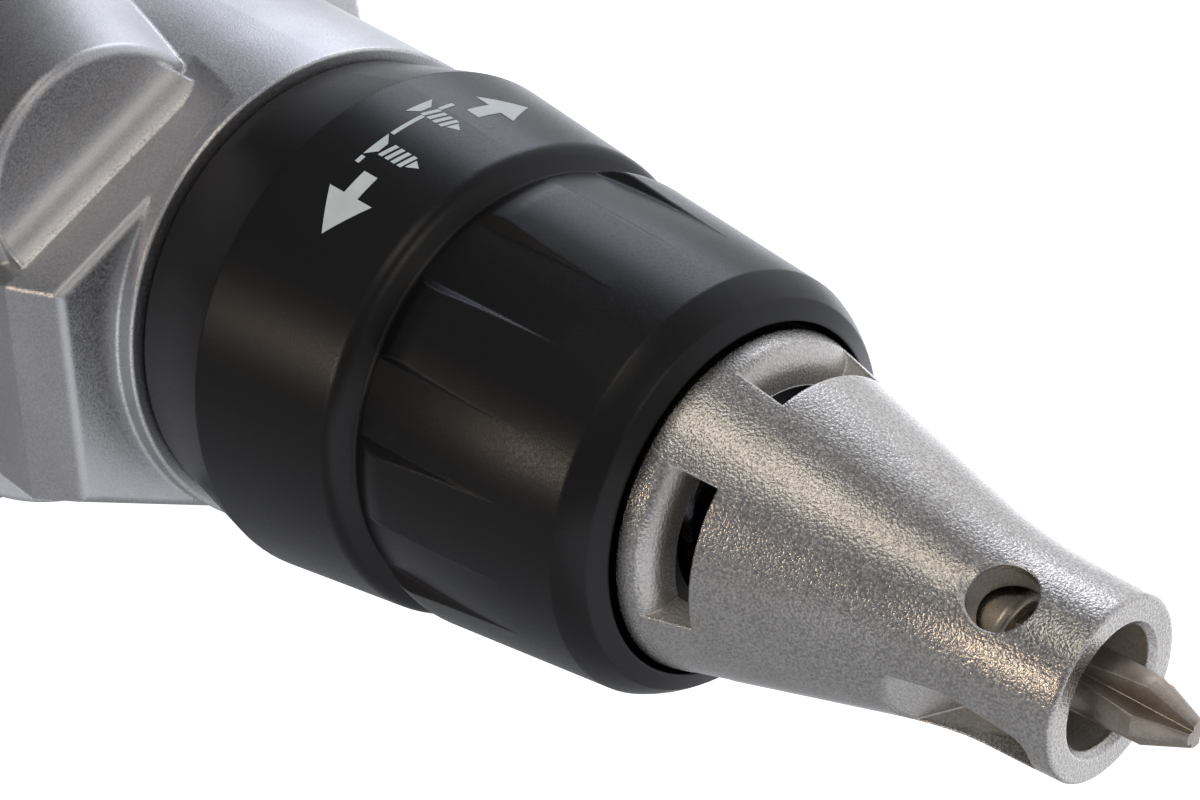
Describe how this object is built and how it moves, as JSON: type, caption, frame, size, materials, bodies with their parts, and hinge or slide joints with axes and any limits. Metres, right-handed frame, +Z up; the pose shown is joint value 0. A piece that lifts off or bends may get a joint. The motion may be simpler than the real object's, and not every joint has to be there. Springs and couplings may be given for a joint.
{
  "type": "drywall screwdriver",
  "caption": "Corded pistol-grip drywall screwdriver with a turning depth collar, slotted nose cone, dog clutch, reduction gear, motor, trigger switch and belt hook.",
  "frame": {"origin": "centre of the flat ring at the front of the nose cone", "axes": "+X along the drive axis towards the bit's tip, +Y to the tool's left, +Z up"},
  "size_m": [0.2811, 0.068, 0.1974],
  "materials": {
    "cast_alloy": "shot-blasted die casting",
    "cast_zinc": "fine cast grain, satin",
    "black_nylon": "moulded, satin",
    "sleeve_nylon": "moulded",
    "spring_steel": "drawn wire",
    "bearing_steel": "ground",
    "tool_steel": "phosphated and ground",
    "holder_steel": "turned",
    "magnet_nickel": "nickel plated",
    "spindle_steel": "ground",
    "sinter_bronze": "sintered",
    "gear_steel": "hobbed",
    "screw_steel": "zinc plated",
    "fan_nylon": "moulded",
    "lamination_steel": "stacked sheet",
    "copper_winding": "enamelled wire",
    "commutator_copper": "turned",
    "carbon": "pressed",
    "brass_sheet": "folded",
    "shell_nylon": "spark-textured",
    "grip_rubber": "soft moulded",
    "switch_plastic": "moulded",
    "trigger_plastic": "moulded",
    "dial_plastic": "moulded",
    "gland_rubber": "moulded",
    "hook_steel": "bent strip, zinc plated"
  },
  "bodies": {
    "tool_body": {"gear_case": "cast_alloy", "bearing_plate": "cast_alloy", "plate_screws": "screw_steel", "spindle_bush_front": "sinter_bronze", "spindle_bush_rear": "sinter_bronze", "gear_bearing_outer": "bearing_steel", "motor_bearing_front_outer": "bearing_steel", "motor_bearing_rear_outer": "bearing_steel", "stator_core": "lamination_steel", "field_coil_right": "copper_winding", "field_coil_left": "copper_winding", "carbon_brushes": "carbon", "brush_holders": "brass_sheet", "brush_springs": "spring_steel", "right_shell": "shell_nylon", "left_shell": "shell_nylon", "grip_rubber_right": "grip_rubber", "grip_rubber_left": "grip_rubber", "shell_screws": "screw_steel", "switch_body": "switch_plastic", "cord_gland": "gland_rubber", "cord_clamp": "fan_nylon", "clamp_screws": "screw_steel", "capacitor": "switch_plastic", "belt_hook": "hook_steel", "hook_screws": "screw_steel", "collar_clip": "spring_steel", "detent_ball": "bearing_steel", "detent_spring": "spring_steel", "trigger_spring": "spring_steel", "lock_spring": "spring_steel"},
    "collar": {"depth_collar": "black_nylon"},
    "nose": {"nose_cone": "cast_zinc", "nose_snap_ring": "spring_steel", "depth_sleeve": "sleeve_nylon"},
    "spindle_slide": {"thrust_washer": "bearing_steel"},
    "spindle_turn": {"spindle": "spindle_steel", "bit_holder": "holder_steel", "holder_magnet": "magnet_nickel", "bit": "tool_steel", "bit_clip": "spring_steel", "clutch_spring": "spring_steel"},
    "gear": {"drive_gear": "gear_steel", "gear_bearing_inner": "bearing_steel"},
    "armature": {"armature_shaft": "spindle_steel", "armature_core": "lamination_steel", "armature_winding": "copper_winding", "commutator": "commutator_copper", "fan": "fan_nylon", "pinion": "gear_steel", "motor_bearing_front_inner": "bearing_steel", "motor_bearing_rear_inner": "bearing_steel"},
    "trigger_block": {"trigger": "trigger_plastic"},
    "dial": {"speed_dial": "dial_plastic"},
    "lever": {"reverse_lever": "trigger_plastic"},
    "lock": {"lock_button": "trigger_plastic"}
  },
  "joints": [
    {"name": "collar_turn", "type": "hinge", "parent": "tool_body", "child": "collar", "pos_m": [-0.08, 0, 0], "axis": [1, 0, 0], "range_deg": [-180, 180]},
    {"name": "nose_depth", "type": "slide", "parent": "tool_body", "child": "nose", "axis": [1, 0, 0], "range_m": [-0.0025, 0.0025]},
    {"name": "spindle_push", "type": "slide", "parent": "tool_body", "child": "spindle_slide", "axis": [-1, 0, 0], "range_m": [0, 0.0028], "stiffness_N_per_m": 2000, "springref_m": -0.004, "deforming": ["clutch_spring"]},
    {"name": "spindle_spin", "type": "hinge", "parent": "spindle_slide", "child": "spindle_turn", "pos_m": [-0.06, 0, 0], "axis": [1, 0, 0], "continuous": true},
    {"name": "armature_spin", "type": "hinge", "parent": "tool_body", "child": "armature", "pos_m": [-0.19, 0, -0.0175], "axis": [1, 0, 0], "continuous": true},
    {"name": "gear_spin", "type": "hinge", "parent": "tool_body", "child": "gear", "pos_m": [-0.12, 0, 0], "axis": [1, 0, 0], "continuous": true},
    {"name": "trigger_pull", "type": "slide", "parent": "tool_body", "child": "trigger_block", "axis": [-1, 0, 0], "range_m": [0, 0.006], "stiffness_N_per_m": 600, "springref_m": -0.004, "deforming": ["trigger_spring"]},
    {"name": "dial_turn", "type": "hinge", "parent": "trigger_block", "child": "dial", "pos_m": [-0.206, 0, -0.067], "axis": [1, 0, 0], "range_deg": [0, 270]},
    {"name": "lever_swing", "type": "hinge", "parent": "tool_body", "child": "lever", "pos_m": [-0.231, 0, -0.056], "axis": [0, 0, 1], "range_deg": [-10, 10]},
    {"name": "lock_press", "type": "slide", "parent": "tool_body", "child": "lock", "axis": [0, -1, 0], "range_m": [0, 0.002], "stiffness_N_per_m": 400, "springref_m": -0.003, "deforming": ["lock_spring"]}
  ],
  "couplings": [
    {"joint": "nose_depth", "follows": "collar_turn", "m_per_rad": 0.00079577},
    {"joint": "gear_spin", "follows": "armature_spin", "ratio": -0.28205}
  ]
}
